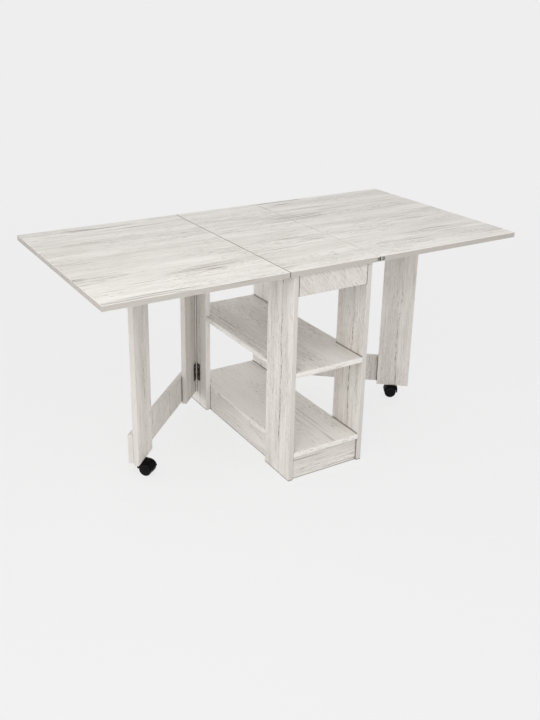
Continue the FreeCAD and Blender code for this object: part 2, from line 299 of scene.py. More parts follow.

# Painted highlights on its corners and painted shade at its joints and gaps, in metres
CORNER_WIDTH = 0.0010
CORNER_CORE = 0.4              # share of that width in which the painted highlight is full
CORNER_HIGHLIGHT = 0.22
JOINT_REACH = 0.009            # how far from another board the painted shade at its joint starts
JOINT_NEAR = (0.14, 0.44)      # nearness over which it sets in
JOINT_SHADE_DEPTH = 0.80             # how dark it is
HINGE_GAP = (0.0012, 0.0045)   # from a gate's hinge axis, over which the painted shade along its gap ends
GAP_SHADE_DEPTH = 0.85
GAP_SKIN = (0.004, 0.001)      # under the posts' outer faces, over which that line sets in
GAP_FOOT = 0.0005              # how far below a gate's hinge post it starts
APRON_END_SHADE_WIDTH = 0.0034            # width of the painted shade at an apron's ends
SEAM_SHADE_WIDTH = 0.0010             # width of the painted shade on each side of the left seam
SEAM_SHADE_DEPTH = 0.55
SEAM_ENDS = {"left_leaf": 1, "top_centre": 0}   # corner of the panel's box that lies at that seam


class Print:
    """How strongly a board's wood print shows each of its marks, from 0 to 1."""

    def __init__(self, bands, lines, fine, streaks, pores, flecks=0.0, tone=0.0, edges=0.0):
        self.bands = bands
        self.lines = lines
        self.fine = fine
        self.streaks = streaks
        self.pores = pores
        self.flecks = flecks
        self.tone = tone            # share of grey over the whole board: its own tone, raised on the apron, plinths and posts as painted shade
        self.edges = edges          # share of painted shade on its narrow sides


TOP_PRINT = Print(bands=0.37, lines=0.26, fine=0.28, streaks=0.78, pores=0.48, edges=0.85)
POST_PRINT = Print(bands=0.32, lines=0.32, fine=0.32, streaks=0.16, pores=0.38, flecks=0.95, tone=0.08,
                   edges=0.50)
# faint grey marks, so that the back posts, shaded by the gates, are painted lighter
BACK_PRINT = Print(bands=0.06, lines=0.10, fine=0.14, streaks=0.10, pores=0.34, flecks=0.50)
GATE_PRINT = Print(bands=0.26, lines=0.28, fine=0.32, streaks=0.10, pores=0.40, flecks=0.62, tone=0.03,
                   edges=0.40)
# faint grey marks, so that the shelves, shaded by the boards above, are painted lighter
SHELF_PRINT = Print(bands=0.18, lines=0.24, fine=0.20, streaks=0.50, pores=0.50)
FLOOR_SHELF_PRINT = Print(bands=0.04, lines=0.12, fine=0.12, streaks=0.40, pores=0.48)
RAIL_PRINT = Print(bands=0.30, lines=0.30, fine=0.30, streaks=0.50, pores=0.44, tone=0.12)
PLINTH_SIDE_PRINT = Print(bands=0.24, lines=0.24, fine=0.24, streaks=0.46, pores=0.46)
# the apron's high tone is partly its own grey and partly painted shade
APRON_PRINT = Print(bands=0.14, lines=0.10, fine=0.30, streaks=0.04, pores=0.34, tone=0.36)

BOARDS = {                     # axis of the grain, and print
    "top_centre": ("x", TOP_PRINT), "left_leaf": ("x", TOP_PRINT), "right_leaf": ("x", TOP_PRINT),
    "plinth_front": ("x", RAIL_PRINT), "plinth_back": ("x", RAIL_PRINT),
    "middle_shelf": ("y", SHELF_PRINT), "bottom_shelf": ("y", FLOOR_SHELF_PRINT),
    "left_plinth_side": ("y", PLINTH_SIDE_PRINT), "right_plinth_side": ("y", PLINTH_SIDE_PRINT),
    "left_post_front": ("z", POST_PRINT), "left_post_back": ("z", BACK_PRINT),
    "right_post_front": ("z", POST_PRINT), "right_post_back": ("z", BACK_PRINT),
}
APRONS = ("apron_front", "apron_back")
APRON_SLANT = 38.0             # of their grain, in degrees from upright
GATE_PARTS = ("_gate_hinge_post", "_gate_leg", "_gate_rail")
BOARD_SEED = 1.0               # where each group's prints start
APRON_SEED = 21.0
GATE_SEEDS = {"left": 31.0, "right": 47.0}
GATE_SEED_STEP = 3


def board_turn(axis, angle, slant):
    """Rotation that brings a board's grain to X, and for a gate its thickness to Y."""
    if axis == "x":
        return Matrix.Rotation(-angle, 3, "Z")
    if axis == "y":
        return Matrix.Rotation(math.radians(-90), 3, "Z")
    lean = Matrix.Rotation(math.radians(slant), 3, "Y")
    return Matrix.Rotation(math.radians(90), 3, "Y") @ lean @ Matrix.Rotation(-angle, 3, "Z")


def board_box(node, turn):
    """Lowest and highest corner of a node in its board's own turned frame."""
    points = [turn @ vertex.co for vertex in frame["nodes"][node].data.vertices]
    low = Vector(min(point[i] for point in points) for i in range(3))
    high = Vector(max(point[i] for point in points) for i in range(3))
    return low, high


def wide_axis(low, high):
    """Axis across the grain along which a board is wider, 1 or 2."""
    size = high - low
    return 1 if size[1] > size[2] else 2


def facing(graph, component):
    """1 where a normal's component says that a face lies square to that axis, and 0 elsewhere."""
    return graph.math("GREATER_THAN", graph.math("ABSOLUTE", component), FACING)


def sway(graph, place, mark, reach):
    """Slow wander to both sides, within a reach."""
    return graph.spread(graph.noise(place, mark), -reach / 2, reach)


def corner_mask(graph, place, low, high, ends):
    """1 on the board's long corners, and on those at its ends if asked, and 0 away from them."""
    middle = (low + high) / 2
    half = (high - low) / 2
    offset = graph.vector_math("ABSOLUTE", graph.vector_math("SUBTRACT", place, tuple(middle)))
    inset = graph.split(graph.vector_math("SUBTRACT", tuple(half), offset))
    second = graph.math("MAXIMUM", inset[1], inset[2])
    if ends:
        small = graph.math("MINIMUM", inset[0], inset[1])
        large = graph.math("MAXIMUM", inset[0], inset[1])
        second = graph.math("MAXIMUM", small, graph.math("MINIMUM", large, inset[2]))
    return graph.inverse(graph.band(second, CORNER_CORE * CORNER_WIDTH, CORNER_WIDTH))


def fleck_column(graph, place, print_place, low, high):
    """Short dark flecks in a wandering column along a board, and the soft grey they lie in."""
    across = wide_axis(low, high)
    centre = low[across] + COLUMN_PLACE * (high - low)[across]
    drift = sway(graph, print_place, COLUMN_WANDER, COLUMN_SWAY)
    here = graph.math("ADD", graph.split(place)[across], drift)
    offset = graph.math("ABSOLUTE", graph.math("SUBTRACT", here, centre))
    near = graph.inverse(graph.band(offset, *COLUMN_REACH))
    soft = graph.inverse(graph.band(offset, *COLUMN_SOFT))
    dashes = graph.math("MULTIPLY", graph.mask(print_place, DASHES), graph.mask(print_place, DASH_CLUSTERS))
    return graph.math("MULTIPLY", dashes, near), soft


def line_at(graph, value, place, width):
    """1 within half a width of a place along one axis, fading out to the whole width."""
    offset = graph.math("ABSOLUTE", graph.math("SUBTRACT", value, place))
    return graph.inverse(graph.band(offset, 0.5 * width, width))


def hinge_gap_shade(graph, side, parts):
    """1 along the gap between a gate and its post, at their outer faces, above the gate's lower end: where
    painted shade goes.
    """
    reach = graph.math("SUBTRACT", parts[1], joint_place(side + "_gate_hinge").y)
    near = graph.inverse(graph.band(graph.math("ABSOLUTE", reach), *HINGE_GAP))
    outer_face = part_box("right_post_back")[1].x
    skin = [outer_face - depth for depth in GAP_SKIN]
    outside = graph.band(graph.math("ABSOLUTE", parts[0]), *skin)
    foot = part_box(side + "_gate_hinge_post")[0].z - GAP_FOOT
    above = graph.math("GREATER_THAN", parts[2], foot)
    return graph.math("MULTIPLY", near, graph.math("MULTIPLY", outside, above))


def painted_joint_shade(graph, node, place, normal):
    """Where a board gets painted shade at its joints, gaps and seam, or None."""
    parts = graph.split(place)
    if node == "right_leaf":
        return None
    # painted shade of the gap along the left seam
    if node in SEAM_ENDS:
        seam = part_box(node)[SEAM_ENDS[node]].x
        return graph.math("MULTIPLY", line_at(graph, parts[0], seam, SEAM_SHADE_WIDTH), SEAM_SHADE_DEPTH)
    from_middle = graph.math("ABSOLUTE", parts[0])
    # painted shade where another board comes near
    near = graph.band(graph.nearness(JOINT_REACH), *JOINT_NEAR)
    dark = graph.math("MULTIPLY", near, JOINT_SHADE_DEPTH)
    if node == "middle_shelf":      # it runs out past the posts' inner faces, where it shows none
        inside = graph.math("LESS_THAN", from_middle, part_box("right_post_back")[0].x)
        dark = graph.math("MULTIPLY", dark, inside)
    # painted shade in the joints at an apron's ends
    if node in APRONS:
        ends = line_at(graph, from_middle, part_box(node)[1].x, APRON_END_SHADE_WIDTH)
        dark = graph.math("MAXIMUM", dark, graph.math("MULTIPLY", ends, JOINT_SHADE_DEPTH))
    if node.endswith("_post_back"):     # the line stays on its wide faces
        dark = graph.math("MULTIPLY", dark, facing(graph, graph.split(normal)[0]))
    # painted shade along the gap at the gates' hinges
    if node.endswith(("_gate_hinge_post", "_post_back")):
        gap = hinge_gap_shade(graph, node.split("_")[0], parts)
        dark = graph.math("MAXIMUM", dark, graph.math("MULTIPLY", gap, GAP_SHADE_DEPTH))
    return dark


def whitewashed_board(node, axis, seed, look, angle=0.0, slant=0.0):
    """Whitewashed oak print along a board, with painted highlights on its corners and painted shade at its
    joints, for one node.
    """
    graph = new_material("wood_" + node)
    row_place = graph.coordinates("Object")
    row_normal = graph.coordinates("Normal")
    turn = board_turn(axis, angle, slant)
    low, high = board_box(node, turn)
    place = graph.mapping(row_place, rotation=turn.to_euler())
    normal = graph.split(graph.mapping(row_normal, rotation=turn.to_euler()))

    parts = graph.split(place)
    crosswise = graph.join(parts[1], parts[0], parts[2])
    printed = graph.mix(facing(graph, normal[0]), place, crosswise, "VECTOR")
    print_place = graph.vector_math("ADD", printed, tuple(seed * step for step in SEED_STEP))
    drift = sway(graph, print_place, GRAIN_WANDER, GRAIN_SWAY)
    grain_place = graph.vector_math("ADD", print_place, graph.join(0.0, drift, drift))

    fine = graph.noise(grain_place, FINE)
    grey = graph.math("MULTIPLY_ADD", graph.mask(grain_place, BROAD), look.bands, look.tone)
    grey = graph.math("MULTIPLY_ADD", graph.mask(grain_place, LINES), look.lines, grey)
    grey = graph.math("MULTIPLY_ADD", graph.band(fine, *FINE.band), look.fine, grey)
    grey = graph.math("MULTIPLY_ADD", graph.mask(grain_place, MOTTLE), MOTTLE_SHARE * look.fine, grey)
    if look.edges:
        flat = facing(graph, normal[3 - wide_axis(low, high)])
        calm = graph.spread(flat, SIDE_CALM, 1.0 - SIDE_CALM)
        grey = graph.math("MULTIPLY", grey, calm)

    pores = graph.math("MULTIPLY", graph.mask(grain_place, PORES), graph.mask(print_place, PORE_CLUSTERS))
    streaks = graph.mask(grain_place, STREAKS)
    streaks = graph.math("MULTIPLY", streaks, graph.mask(print_place, STREAK_CLUSTERS))
    dark = graph.math("MAXIMUM", graph.math("MULTIPLY", pores, look.pores),
                      graph.math("MULTIPLY", streaks, look.streaks))
    if look.flecks:
        flecks, soft = fleck_column(graph, place, print_place, low, high)
        grey = graph.math("MULTIPLY_ADD", soft, COLUMN_GREY, grey)
        dark = graph.math("MAXIMUM", dark, graph.math("MULTIPLY", flecks, look.flecks))
    colour = graph.mix(graph.math("MINIMUM", grey, 1.0), PALE_WOOD, GREY_WOOD)
    if look.edges:
        # painted shade on the narrow sides
        colour = graph.mix(graph.math("MULTIPLY", graph.inverse(flat), look.edges), colour, SIDE_SHADE_WOOD)
        dark = graph.math("MULTIPLY", dark, calm)
    colour = graph.mix(dark, colour, BROWN_WOOD)
    # painted highlight along the corners
    highlight = graph.math("MULTIPLY", corner_mask(graph, place, low, high, axis != "x"), CORNER_HIGHLIGHT)
    colour = graph.mix(highlight, colour, PALE_WOOD)
    # painted shade at joints, gaps and the left seam
    lines = painted_joint_shade(graph, node, row_place, row_normal)
    if lines is not None:
        colour = graph.mix(lines, colour, JOINT_SHADE_COLOUR)
    graph.surface(colour, graph.spread(fine, *WOOD_ROUGHNESS), specular=WOOD_SPECULAR)
    relief = graph.math("SUBTRACT", graph.math("MULTIPLY", fine, RELIEF_GRAIN), dark)
    graph.bump(relief, strength=0.20, distance=0.0004)
    return graph.owner


# Metal and plastic: linear colours, and their marks

HINGE_COLOURS = ((0.050, 0.037, 0.027), (0.120, 0.094, 0.070))
HINGE_CLOUD = Mark((120.0, 120.0, 60.0), 4.0, (0.35, 0.7))
HINGE_BRUSH = Mark((700.0, 700.0, 40.0), 2.0)
KNUCKLE_HIGHLIGHT_COLOUR = (0.80, 0.74, 0.66)
KNUCKLE_REACH = (0.0023, 0.0027)    # from a gate's hinge axis, over which the painted highlight on its knuckles ends
KNUCKLE_HIGHLIGHT = 0.95

PIN_TINT = (0.62, 0.60, 0.56)
ZINC_TINT = (0.74, 0.75, 0.76)
SATIN_TINT = (0.50, 0.48, 0.45)
STEEL_SHADE = 0.55             # of its tint, where its cloud is full
STEEL_CLOUD = Mark((160.0, 160.0, 160.0), 3.0, (0.40, 0.75))
STEEL_BRUSH = Mark((900.0, 900.0, 60.0), 3.0)

BLACK_COLOURS = ((0.0030, 0.0030, 0.0032), (0.0075, 0.0075, 0.008))
CREVICE_SHADE_COLOUR = (0.0, 0.0, 0.0)
CREVICE_REACH = 0.004
CREVICE_NEAR = (0.20, 0.55)    # nearness over which the painted crevice shade sets in
SCUFFS = Mark((90.0, 90.0, 260.0), 4.0, (0.55, 0.80), 0.7)
MOULD_GRAIN = Mark((1800.0, 1800.0, 1800.0), 2.0)

PLATE_COLOURS = ((0.50, 0.475, 0.44), (0.36, 0.34, 0.31))
PLATE_CLOUD = Mark((300.0, 300.0, 300.0), 3.0, (0.35, 0.70))
PLATE_GRAIN = Mark((1500.0, 1500.0, 1500.0), 2.0)


def hinge_steel():
    """Dark bronzed steel, with a painted highlight on the knuckles round the gates' pins."""
    graph = new_material("dark_hinge_steel")
    place = graph.coordinates("Object")
    brush = graph.noise(place, HINGE_BRUSH)
    colour = graph.mix(graph.mask(place, HINGE_CLOUD), *HINGE_COLOURS)
    pin = joint_place("left_gate_hinge")
    parts = graph.split(place)
    across = graph.math("SUBTRACT", graph.math("ABSOLUTE", parts[0]), abs(pin.x))
    along = graph.math("SUBTRACT", parts[1], pin.y)
    offset = graph.vector_math("LENGTH", graph.join(across, along, 0.0))
    knuckle = graph.inverse(graph.band(offset, *KNUCKLE_REACH))
    # painted highlight on the knuckles
    colour = graph.mix(graph.math("MULTIPLY", knuckle, KNUCKLE_HIGHLIGHT), colour, KNUCKLE_HIGHLIGHT_COLOUR)
    graph.surface(colour, graph.spread(brush, least=0.30, more=0.30), metallic=0.5)
    graph.bump(brush, strength=0.15, distance=0.0002)
    return graph.owner


def bright_steel(name, tint):
    graph = new_material(name)
    place = graph.coordinates("Object")
    brush = graph.noise(place, STEEL_BRUSH)
    darker = tuple(STEEL_SHADE * value for value in tint)
    colour = graph.mix(graph.mask(place, STEEL_CLOUD), tint, darker)
    graph.surface(colour, graph.spread(brush, least=0.26, more=0.22), metallic=1.0)
    graph.bump(brush, strength=0.12, distance=0.0002)
    return graph.owner


def black_plastic(name, roughness, shine):
    """Moulded black plastic with fine scuffs, and painted shade in its crevices: darker and less shiny
    there.
    """
    graph = new_material(name)
    place = graph.coordinates("Object")
    scuff = graph.noise(place, SCUFFS)
    # painted shade in crevices
    crevice_shade = graph.band(graph.nearness(CREVICE_REACH), *CREVICE_NEAR)
    colour = graph.mix(graph.band(scuff, *SCUFFS.band), *BLACK_COLOURS)
    colour = graph.mix(crevice_shade, colour, CREVICE_SHADE_COLOUR)
    specular = graph.spread(crevice_shade, least=shine, more=-shine)
    graph.surface(colour, graph.spread(scuff, least=roughness, more=0.22), specular=specular)
    graph.bump(graph.noise(place, MOULD_GRAIN), strength=0.08, distance=0.0001)
    return graph.owner


def painted_plate():
    """Steel plate lacquered near the board edge's tone, with wear."""
    graph = new_material("catch_plate")
    place = graph.coordinates("Object")
    grain = graph.noise(place, PLATE_GRAIN)
    colour = graph.mix(graph.mask(place, PLATE_CLOUD), *PLATE_COLOURS)
    graph.surface(colour, graph.spread(grain, least=0.42, more=0.2))
    graph.bump(grain, strength=0.06, distance=0.0001)
    return graph.owner


# Meshes

SHARPEST_SMOOTH = 32           # degrees between faces that are shaded as one


def make_piece(name, shells, material, body, replaced=()):
    """One object from closed shells of (points, faces), shaded smooth up to its sharper edges."""
    mesh = bpy.data.meshes.new(name)
    points = []
    faces = []
    for shell_points, shell_faces in shells:
        start = len(points)
        points.extend(shell_points)
        faces.extend([[start + index for index in face] for face in shell_faces])
    mesh.from_pydata([tuple(point) for point in points], [], faces)
    edit = bmesh.new()
    edit.from_mesh(mesh)
    bmesh.ops.recalc_face_normals(edit, faces=edit.faces)
    for face in edit.faces:
        face.smooth = True
    for edge in edit.edges:
        edge.smooth = edge.calc_face_angle(math.pi) < math.radians(SHARPEST_SMOOTH)
    edit.to_mesh(mesh)
    edit.free()
    mesh.materials.append(material)
    piece = bpy.data.objects.new(name, mesh)
    bpy.context.collection.objects.link(piece)
    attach(piece, body)
    if replaced:
        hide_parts(*replaced)


def placed(shell, matrix):
    points, faces = shell
    return [matrix @ Vector(point) for point in points], faces


def stand(origin, x_axis, y_axis):
    """Matrix of a right-handed frame from its origin and its first two axes."""
    z_axis = x_axis.cross(y_axis)
    turn = Matrix((x_axis, y_axis, z_axis)).transposed().to_4x4()
    return Matrix.Translation(origin) @ turn


def circle(x, radius, count):
    angles = [2 * math.pi * step / count for step in range(count)]
    return [Vector((x, radius * math.cos(angle), radius * math.sin(angle))) for angle in angles]


def ring_faces(first, second, count):
    """Faces between two rings of as many points, which start at these indices."""
    faces = []
    for step in range(count):
        after = (step + 1) % count
        faces.append([first + step, first + after, second + after, second + step])
    return faces


def lathe(profile, segments):
    """Closed shell round the X axis, from (x, radius) points that start and end on the axis."""
    points = [Vector((profile[0][0], 0, 0))]
    for x, radius in profile[1:-1]:
        points += circle(x, radius, segments)
    points.append(Vector((profile[-1][0], 0, 0)))
    starts = [1 + ring * segments for ring in range(len(profile) - 2)]
    faces = []
    for step in range(segments):
        after = (step + 1) % segments
        faces.append([0, starts[0] + after, starts[0] + step])
        faces.append([starts[-1] + step, starts[-1] + after, len(points) - 1])
    for first, second in zip(starts, starts[1:]):
        faces += ring_faces(first, second, segments)
    return points, faces


def prism(outline, low, high):
    """Closed shell: an outline in Y and Z, drawn out along X."""
    count = len(outline)
    points = [Vector((x, y, z)) for x in (low, high) for y, z in outline]
    ends = [list(range(count))[::-1], list(range(count, 2 * count))]
    return points, ends + ring_faces(0, count, count)


def slab(x_ends, y_ends, z_ends):
    """Closed shell of a flat bar."""
    (y_low, y_high), (z_low, z_high) = y_ends, z_ends
    return prism([(y_low, z_low), (y_high, z_low), (y_high, z_high), (y_low, z_high)], *x_ends)


# Screws

HINGE_SCREW_RADIUS = 3.3 * MM
HINGE_SCREW_HEIGHT = 0.35 * MM
HINGE_FACE = 1.1 * MM          # hinge axis to a hinge leaf's open face
GATE_HINGE_LENGTH = 70 * MM
GATE_HINGE_SCREWS = ((12 * MM, 15.5 * MM), (35 * MM, 10.5 * MM), (58 * MM, 15.5 * MM))  # along and out
SEAM_HINGE_LENGTH = 60 * MM
SEAM_HINGE_SCREWS = ((10 * MM, 12.5 * MM), (50 * MM, 12.5 * MM))
RAIL_SCREW_RADIUS = 4.6 * MM
RAIL_SCREW_HEIGHT = 0.5 * MM
RAIL_FACE = 38.5 * MM          # hinge axis to a gate rail's outer face
RAIL_SCREWS_ALONG = (30 * MM, 88 * MM, 500 * MM, 562 * MM)
RAIL_SCREWS_UP = (30 * MM, 78 * MM)
SHELF_SCREW_RADIUS = 2.8 * MM
SHELF_SCREW_HEIGHT = 0.25 * MM
SHELF_SCREW_INSET = 36 * MM    # from a post's edges
SHELF_SCREW_DROP = 13 * MM     # below the shelf's upper face
SCREW_STEPS = 24               # points on its rim, six to each arm of its cross
SCREW_ARM = 0.62               # reach of an arm, as a share of the radius
SCREW_ARM_HALF = 0.15          # half its width, as a share of the radius
SCREW_RECESS = 0.75            # depth of the cross, as a share of the height
SCREW_SKIRT = 0.1              # upright side of the head, as a share of the height
SCREW_TURN = 37.0              # degrees from one screw to the next


def cross_outline(arm, half):
    """Twelve corners of a cross in Y and Z, three to each arm."""
    outline = []
    for turn in range(4):
        cosine = round(math.cos(turn * math.pi / 2))
        sine = round(math.sin(turn * math.pi / 2))
        for y, z in ((arm, -half), (arm, half), (half, half)):
            outline.append((cosine * y - sine * z, sine * y + cosine * z))
    return outline


def screw_head(radius, height):
    """Closed shell of a low screw head on the Y and Z plane, facing +X, with a cross recess."""
    count = SCREW_STEPS
    points = circle(-height, radius, count)
    points += circle(SCREW_SKIRT * height, radius, count)
    points += circle(height, radius - height, count)
    outline = cross_outline(SCREW_ARM * radius, SCREW_ARM_HALF * radius)
    corners = len(outline)
    upper = len(points)
    lower = upper + corners
    points += [Vector((height, y, z)) for y, z in outline]
    points += [Vector((height - SCREW_RECESS * height, y, z)) for y, z in outline]
    faces = [list(range(count))[::-1]]
    faces += ring_faces(0, count, count) + ring_faces(count, 2 * count, count)
    for turn in range(4):
        first = upper + 3 * turn
        after = upper + (3 * turn + 3) % corners
        rim = [2 * count + (6 * turn + step) % count for step in range(-1, 6)]
        faces.append([*rim[0:3], first + 1, first])
        faces.append([*rim[2:5], first + 2, first + 1])
        faces.append([*rim[4:7], after, first + 2])
    faces += ring_faces(upper, lower, corners)
    faces.append([lower + index for index in range(corners)])
    return points, faces


def add_screws(name, places, radius, height, steel, body):
    """Screw heads at (point, normal) places, each turned a little further, as one piece."""
    shells = []
    for number, (point, normal) in enumerate(places):
        side = normal.orthogonal().normalized()
        side.rotate(Matrix.Rotation(math.radians(SCREW_TURN * number), 3, normal))
        shells.append(placed(screw_head(radius, height), stand(point, normal, side)))
    make_piece(name, shells, steel, body)


def gate_hinge_screws(steel):
    for side, sign in SIDES.items():
        pin = joint_place(side + "_gate_hinge")
        away = gate_axes(side)[1]
        fixed = []
        moving = []
        for start in hinge_starts(side + "_gate_hinge_fixed_leaves", 2, GATE_HINGE_LENGTH):
            for up, out in GATE_HINGE_SCREWS:
                height = start + up
                fixed.append((Vector((pin.x - sign * HINGE_FACE, pin.y - out, height)), sign * X))
                moving.append((gate_place(side, out, HINGE_FACE, height), -away))
        for kind, places, body in (("fixed", fixed, "cabinet"), ("moving", moving, side + "_gate")):
            name = side + "_gate_hinge_" + kind + "_screws"
            add_screws(name, places, HINGE_SCREW_RADIUS, HINGE_SCREW_HEIGHT, steel, body)


def seam_hinge_screws(steel):
    for side, sign in SIDES.items():
        pin = joint_place(side + "_leaf_hinge")
        starts = hinge_starts(side + "_seam_hinge_fixed_leaves", 1, SEAM_HINGE_LENGTH)
        for kind, way, body in (("fixed", -sign, "cabinet"), ("moving", sign, side + "_leaf")):
            places = []
            for start in starts:
                for along, out in SEAM_HINGE_SCREWS:
                    places.append((Vector((pin.x + way * out, start + along, pin.z + HINGE_FACE)), -Z))
            name = side + "_seam_hinge_" + kind + "_screws"
            add_screws(name, places, HINGE_SCREW_RADIUS, HINGE_SCREW_HEIGHT, steel, body)


def rail_screws(steel):
    for side in SIDES:
        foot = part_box(side + "_gate_rail")[0].z
        away = gate_axes(side)[1]
        places = []
        for along in RAIL_SCREWS_ALONG:
            for up in RAIL_SCREWS_UP:
                places.append((gate_place(side, along, RAIL_FACE, foot + up), away))
        name = side + "_rail_screws"
        add_screws(name, places, RAIL_SCREW_RADIUS, RAIL_SCREW_HEIGHT, steel, side + "_gate")


def shelf_screws(steel):
    """Screws through the posts into the ends of the middle shelf."""
    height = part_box("middle_shelf")[1].z - SHELF_SCREW_DROP
    for side, sign in SIDES.items():
        places = []
        for post in ("_post_front", "_post_back"):
            low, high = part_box(side + post)
            outer = high.x if sign > 0 else low.x
            for y in (low.y + SHELF_SCREW_INSET, high.y - SHELF_SCREW_INSET):
                places.append((Vector((outer, y, height)), sign * X))
        add_screws(side + "_shelf_screws", places, SHELF_SCREW_RADIUS, SHELF_SCREW_HEIGHT, steel, "cabinet")


# Casters, in the wheels' own frame: X along the axle, Y to the front

WHEEL_WIDTH = 19.5 * MM
WHEEL_SEGMENTS = 72
WHEEL_SECTION = (              # from the inner face, as (x, radius) in millimetres
    (14.5, 0), (14.5, 3.2), (0, 3.2), (0, 7),                       # axle's bore and the hub's inner end
    (1.4, 7.8), (1.4, 17.2), (0, 18.2), (0, 20.8),                  # sunk inner face and the rim
    (0.5, 21.8), (1.6, 22.4), (2.6, 22.5), (15.6, 22.5),            # inner shoulder and tread
    (17.0, 22.3), (18.2, 21.6), (19.0, 20.5), (19.4, 19.2), (19.5, 18.4),   # outer shoulder
    (19.3, 17.9), (18.5, 17.5), (18.2, 16.9), (18.3, 16.2),         # groove round the disc
    (18.8, 14.0), (19.2, 11.0), (19.4, 8.4), (19.4, 7.4),           # domed disc
    (19.2, 7.1), (18.5, 6.9), (18.3, 6.5), (18.5, 6.1), (19.2, 5.8),        # groove round the hub cap
    (19.45, 5.0), (19.5, 3.0), (19.5, 0),                           # hub cap
)
HOOD_INNER = 23.5 * MM
HOOD_OUTER = 25.5 * MM
HOOD_NOSE_REACH = 28.5 * MM
HOOD_HALF_WIDTH = 22.0 * MM
HOOD_EDGE = 1.6 * MM           # rounding of its long edges
HOOD_EDGE_ANGLES = (0, 18, 36, 54, 72, 90)
HOOD_FROM = 2.0                # degrees above the front
HOOD_TO = 172.0
HOOD_STEPS = 72
HOOD_SQUARENESS = 9.0          # of the nose's corner: 2 is an ellipse
WEB_HALF = 2.0 * MM
WEB_OVERLAP = 0.2 * MM         # of the web's outer edge with the cover
WEB_STEPS = 48                 # on its outer edge
HUB_RADIUS = 7.0 * MM
HUB_STEPS = 24
COLLAR_RADIUS = 8.5 * MM
COLLAR_HEIGHT = 1.1 * MM
COLLAR_BEVEL = 0.3 * MM
COLLAR_LIFT = 0.1 * MM         # above the cover
COLLAR_SEGMENTS = 48


def hood_reach(angle):
    """Outer radius of the hood at an angle above the front."""
    if angle >= math.pi / 2:
        return HOOD_OUTER
    front = (math.cos(angle) / HOOD_NOSE_REACH) ** HOOD_SQUARENESS
    upper = (math.sin(angle) / HOOD_OUTER) ** HOOD_SQUARENESS
    return (front + upper) ** (-1 / HOOD_SQUARENESS)


def arc_angles(start, end, steps):
    """Angles in radians from one in degrees to another, both among them."""
    return [math.radians(start + (end - start) * step / steps) for step in range(steps + 1)]


def hood_shell():
    """Arched cover with rounded long edges. X is along the axle, Y to the front, Z up."""
    edge = []
    for degrees in HOOD_EDGE_ANGLES:
        turn = math.radians(degrees)
        edge.append((HOOD_HALF_WIDTH - HOOD_EDGE * (1 - math.cos(turn)), HOOD_EDGE * (1 - math.sin(turn))))
    points = []
    for angle in arc_angles(HOOD_FROM, HOOD_TO, HOOD_STEPS):
        reach = hood_reach(angle)
        section = [(-HOOD_HALF_WIDTH, HOOD_INNER)]
        section += [(-x, reach - depth) for x, depth in edge]
        section += [(x, reach - depth) for x, depth in reversed(edge)]
        section.append((HOOD_HALF_WIDTH, HOOD_INNER))
        points += [Vector((x, radius * math.cos(angle), radius * math.sin(angle))) for x, radius in section]
    count = len(section)
    faces = [list(range(count)), [HOOD_STEPS * count + index for index in range(count)][::-1]]
    for step in range(HOOD_STEPS):
        faces += ring_faces(step * count, (step + 1) * count, count)
    return points, faces


def web_shell():
    """Plate between the wheels, from the cover down to the axle's hub."""
    outer = HOOD_INNER + WEB_OVERLAP
    outline = [(outer * math.cos(angle), outer * math.sin(angle))
               for angle in arc_angles(HOOD_FROM, HOOD_TO, WEB_STEPS)]
    outline += [(HUB_RADIUS * math.cos(angle), HUB_RADIUS * math.sin(angle))
                for angle in arc_angles(HOOD_TO, 360 + HOOD_FROM, HUB_STEPS)]
    return prism(outline, -WEB_HALF, WEB_HALF)


def collar_section():
    """Washer with bevelled edges, from its lower face, as (height, radius)."""
    return [(0, 0), (0, COLLAR_RADIUS - COLLAR_BEVEL), (COLLAR_BEVEL, COLLAR_RADIUS),
            (COLLAR_HEIGHT - COLLAR_BEVEL, COLLAR_RADIUS), (COLLAR_HEIGHT, COLLAR_RADIUS - COLLAR_BEVEL),
            (COLLAR_HEIGHT, 0)]


def dress_casters(wheel_plastic, hood_plastic, steel):
    section = [(x * MM, radius * MM) for x, radius in WHEEL_SECTION]
    for side in SIDES:
        swivel = joint_place(side + "_caster_swivel")
        wheels = {which: joint_place(side + "_wheel_" + which + "_spin") for which in ("inner", "outer")}
        centre = (wheels["inner"] + wheels["outer"]) / 2
        front = Vector((swivel.x - centre.x, swivel.y - centre.y, 0)).normalized()
        hood_place = stand(centre, front.cross(Z), front)
        cover = [placed(shell, hood_place) for shell in (hood_shell(), web_shell())]
        make_piece(side + "_caster_cover", cover, hood_plastic, side + "_caster",
                   [side + "_caster_hood"])
        for which, middle in wheels.items():
            outward = (middle - centre).normalized()
            face = middle - outward * WHEEL_WIDTH / 2
            tyre = placed(lathe(section, WHEEL_SEGMENTS), stand(face, outward, Z))
            make_piece(side + "_caster_" + which + "_tyre", [tyre], wheel_plastic, side + "_wheel_" + which,
                       [side + "_caster_wheel_" + which])
        base = Vector((swivel.x, swivel.y, centre.z + HOOD_OUTER + COLLAR_LIFT))
        collar = placed(lathe(collar_section(), COLLAR_SEGMENTS), stand(base, Z, X))
        make_piece(side + "_caster_collar", [collar], steel, side + "_caster")


# Fitting in the front edge at the right seam

